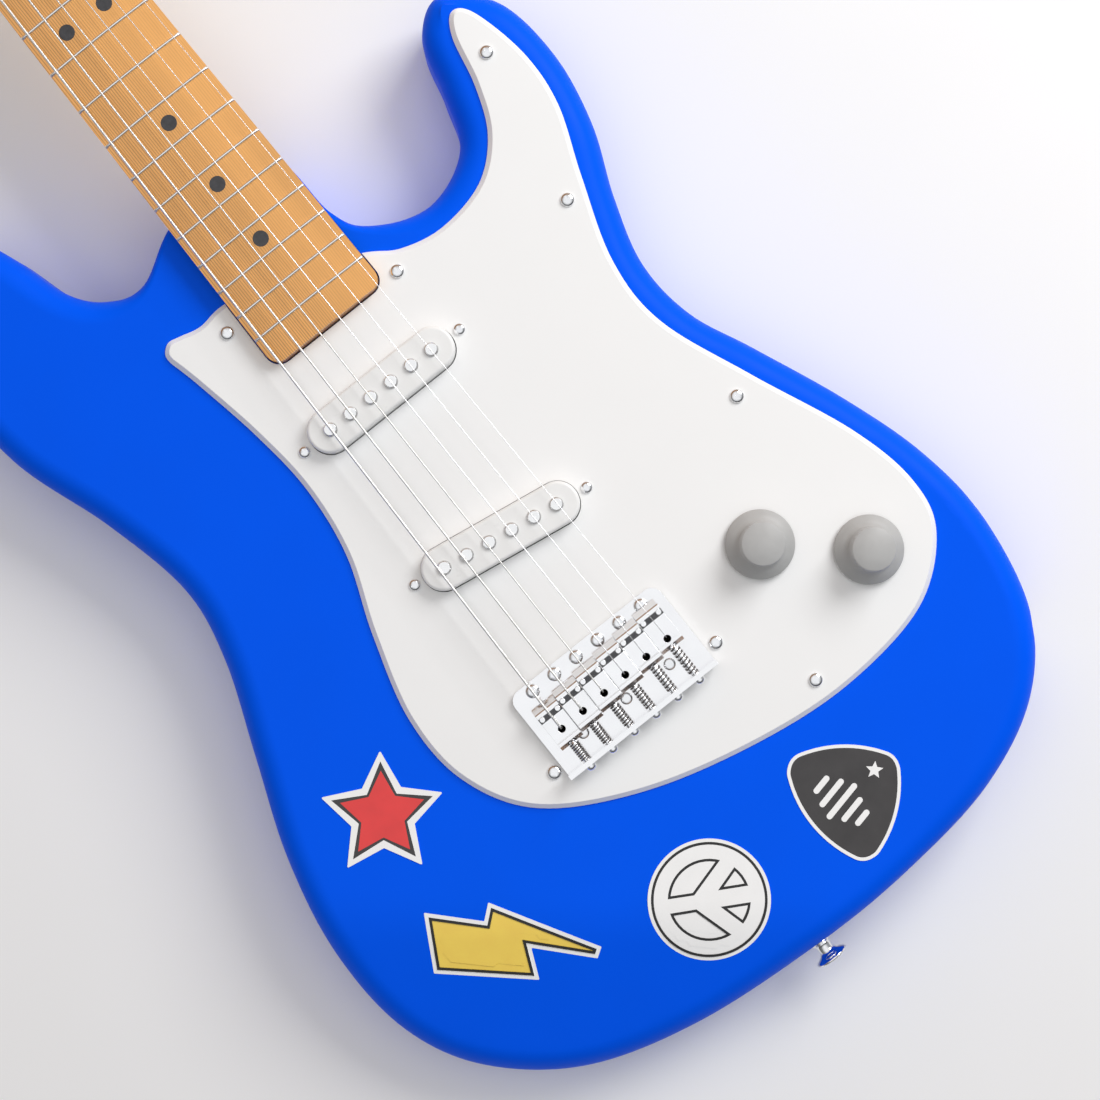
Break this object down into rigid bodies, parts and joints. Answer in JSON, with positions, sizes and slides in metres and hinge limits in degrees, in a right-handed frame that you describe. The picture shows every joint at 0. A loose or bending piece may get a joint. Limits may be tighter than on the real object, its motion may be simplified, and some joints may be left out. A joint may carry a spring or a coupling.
{
  "type": "electric guitar",
  "caption": "Full-size solid-body electric guitar with two pickups, spring vibrato bridge, turning controls and geared tuners.",
  "frame": {"origin": "on the centre line under the saddles, in the plane of the flat back", "axes": "+Z out of the front face, +Y along the strings to the headstock, +X to the treble side"},
  "size_m": [0.3254, 0.9895, 0.065],
  "materials": {
    "body_lacquer": "deep gloss blue lacquer on wood",
    "white_plastic": "white three-ply plastic, satin gloss",
    "cover_plastic": "white moulded plastic",
    "maple": "amber satin maple",
    "fingerboard_maple": "amber maple with fine lengthwise grain",
    "fret_wire": "polished nickel silver",
    "dot_plastic": "dark grey inlay",
    "bone": "polished bone",
    "chrome": "polished chrome",
    "steel": "bare steel",
    "cast_block": "plated cast block",
    "spring_steel": "plated spring wire",
    "string_steel": "bright nickel-plated wire",
    "coil_black": "black fibre and taped coil",
    "magnet": "polished magnet rod",
    "wire_black": "black insulation",
    "brass": "brass shaft",
    "knob_grey": "matte grey moulded plastic",
    "sticker_vinyl": "printed white vinyl"
  },
  "bodies": {
    "guitar": {"body": "body_lacquer", "pickguard": "white_plastic", "pickguard_screws": "chrome", "neck": "maple", "fingerboard": "fingerboard_maple", "frets": "fret_wire", "fret_markers": "dot_plastic", "nut": "bone", "string_tree": "chrome", "truss_rod": "steel", "neck_plate": "chrome", "neck_bolts": "chrome", "strap_buttons": "chrome", "back_cover": "white_plastic", "back_cover_screws": "chrome", "pickup_covers": "cover_plastic", "pickup_coils": "coil_black", "pole_pieces": "magnet", "pickup_screws": "chrome", "pickup_springs": "spring_steel", "pot_housings": "steel", "wiring_loom": "wire_black", "output_jack": "steel", "jack_plate": "chrome", "pivot_screws": "chrome", "spring_claw": "steel", "claw_screws": "steel", "trem_springs": "spring_steel", "strings": "string_steel", "tuner_housings": "chrome", "tuner_bushings": "chrome", "tuner_screws": "chrome", "stickers": "sticker_vinyl"},
    "bridge": {"bridge_plate": "chrome", "inertia_block": "cast_block", "block_screws": "chrome", "intonation_screws": "chrome", "intonation_springs": "spring_steel"},
    "saddle_1_body": {"saddle_1": "chrome"},
    "saddle_2_body": {"saddle_2": "chrome"},
    "saddle_3_body": {"saddle_3": "chrome"},
    "saddle_4_body": {"saddle_4": "chrome"},
    "saddle_5_body": {"saddle_5": "chrome"},
    "saddle_6_body": {"saddle_6": "chrome"},
    "volume_control": {"volume_knob": "knob_grey", "volume_pot_shaft": "brass"},
    "tone_control": {"tone_knob": "knob_grey", "tone_pot_shaft": "brass"},
    "tuner_1_button": {"tuner_button_1": "chrome"},
    "tuner_2_button": {"tuner_button_2": "chrome"},
    "tuner_3_button": {"tuner_button_3": "chrome"},
    "tuner_4_button": {"tuner_button_4": "chrome"},
    "tuner_5_button": {"tuner_button_5": "chrome"},
    "tuner_6_button": {"tuner_button_6": "chrome"},
    "tuner_1_post": {"tuner_post_1": "chrome"},
    "tuner_2_post": {"tuner_post_2": "chrome"},
    "tuner_3_post": {"tuner_post_3": "chrome"},
    "tuner_4_post": {"tuner_post_4": "chrome"},
    "tuner_5_post": {"tuner_post_5": "chrome"},
    "tuner_6_post": {"tuner_post_6": "chrome"}
  },
  "joints": [
    {"name": "bridge_tilt", "type": "hinge", "parent": "guitar", "child": "bridge", "pos_m": [0, 0.0062, 0.0492], "axis": [-1, 0, 0], "range_deg": [0, 6], "stiffness_Nm_per_rad": 6, "springref_deg": -2.86, "deforming": ["trem_springs", "strings"]},
    {"name": "saddle_1_slide", "type": "slide", "parent": "bridge", "child": "saddle_1_body", "axis": [0, 1, 0], "range_m": [-0.0015, 0.0015], "deforming": ["intonation_springs"]},
    {"name": "saddle_2_slide", "type": "slide", "parent": "bridge", "child": "saddle_2_body", "axis": [0, 1, 0], "range_m": [-0.0015, 0.0015]},
    {"name": "saddle_3_slide", "type": "slide", "parent": "bridge", "child": "saddle_3_body", "axis": [0, 1, 0], "range_m": [-0.0015, 0.0015]},
    {"name": "saddle_4_slide", "type": "slide", "parent": "bridge", "child": "saddle_4_body", "axis": [0, 1, 0], "range_m": [-0.0015, 0.0015]},
    {"name": "saddle_5_slide", "type": "slide", "parent": "bridge", "child": "saddle_5_body", "axis": [0, 1, 0], "range_m": [-0.0015, 0.0015]},
    {"name": "saddle_6_slide", "type": "slide", "parent": "bridge", "child": "saddle_6_body", "axis": [0, 1, 0], "range_m": [-0.0015, 0.0015]},
    {"name": "volume_turn", "type": "hinge", "parent": "guitar", "child": "volume_control", "pos_m": [0.082, -0.0047, 0.055], "axis": [0, 0, -1], "range_deg": [0, 300]},
    {"name": "tone_turn", "type": "hinge", "parent": "guitar", "child": "tone_control", "pos_m": [0.1156, -0.0341, 0.055], "axis": [0, 0, -1], "range_deg": [0, 300]},
    {"name": "tuner_1_turn", "type": "hinge", "parent": "guitar", "child": "tuner_1_button", "pos_m": [-0.02302, 0.66629, 0.02475], "axis": [-0.9643, 0.2647, 0], "continuous": true},
    {"name": "tuner_2_turn", "type": "hinge", "parent": "guitar", "child": "tuner_2_button", "pos_m": [-0.01602, 0.69179, 0.02475], "axis": [-0.9643, 0.2647, 0], "continuous": true},
    {"name": "tuner_3_turn", "type": "hinge", "parent": "guitar", "child": "tuner_3_button", "pos_m": [-0.00902, 0.71729, 0.02475], "axis": [-0.9643, 0.2647, 0], "continuous": true},
    {"name": "tuner_4_turn", "type": "hinge", "parent": "guitar", "child": "tuner_4_button", "pos_m": [-0.00202, 0.74279, 0.02475], "axis": [-0.9643, 0.2647, 0], "continuous": true},
    {"name": "tuner_5_turn", "type": "hinge", "parent": "guitar", "child": "tuner_5_button", "pos_m": [0.00498, 0.76829, 0.02475], "axis": [-0.9643, 0.2647, 0], "continuous": true},
    {"name": "tuner_6_turn", "type": "hinge", "parent": "guitar", "child": "tuner_6_button", "pos_m": [0.01198, 0.79379, 0.02475], "axis": [-0.9643, 0.2647, 0], "continuous": true},
    {"name": "tuner_1_winding", "type": "hinge", "parent": "guitar", "child": "tuner_1_post", "pos_m": [-0.0209, 0.674, 0.045], "axis": [0, 0, 1], "continuous": true},
    {"name": "tuner_2_winding", "type": "hinge", "parent": "guitar", "child": "tuner_2_post", "pos_m": [-0.0139, 0.6995, 0.045], "axis": [0, 0, 1], "continuous": true},
    {"name": "tuner_3_winding", "type": "hinge", "parent": "guitar", "child": "tuner_3_post", "pos_m": [-0.0069, 0.725, 0.045], "axis": [0, 0, 1], "continuous": true},
    {"name": "tuner_4_winding", "type": "hinge", "parent": "guitar", "child": "tuner_4_post", "pos_m": [0.0001, 0.7505, 0.045], "axis": [0, 0, 1], "continuous": true},
    {"name": "tuner_5_winding", "type": "hinge", "parent": "guitar", "child": "tuner_5_post", "pos_m": [0.0071, 0.776, 0.045], "axis": [0, 0, 1], "continuous": true},
    {"name": "tuner_6_winding", "type": "hinge", "parent": "guitar", "child": "tuner_6_post", "pos_m": [0.0141, 0.8015, 0.045], "axis": [0, 0, 1], "continuous": true}
  ],
  "couplings": [
    {"joint": "tuner_1_winding", "follows": "tuner_1_turn", "ratio": 0.071429},
    {"joint": "tuner_2_winding", "follows": "tuner_2_turn", "ratio": 0.071429},
    {"joint": "tuner_3_winding", "follows": "tuner_3_turn", "ratio": 0.071429},
    {"joint": "tuner_4_winding", "follows": "tuner_4_turn", "ratio": 0.071429},
    {"joint": "tuner_5_winding", "follows": "tuner_5_turn", "ratio": 0.071429},
    {"joint": "tuner_6_winding", "follows": "tuner_6_turn", "ratio": 0.071429}
  ]
}
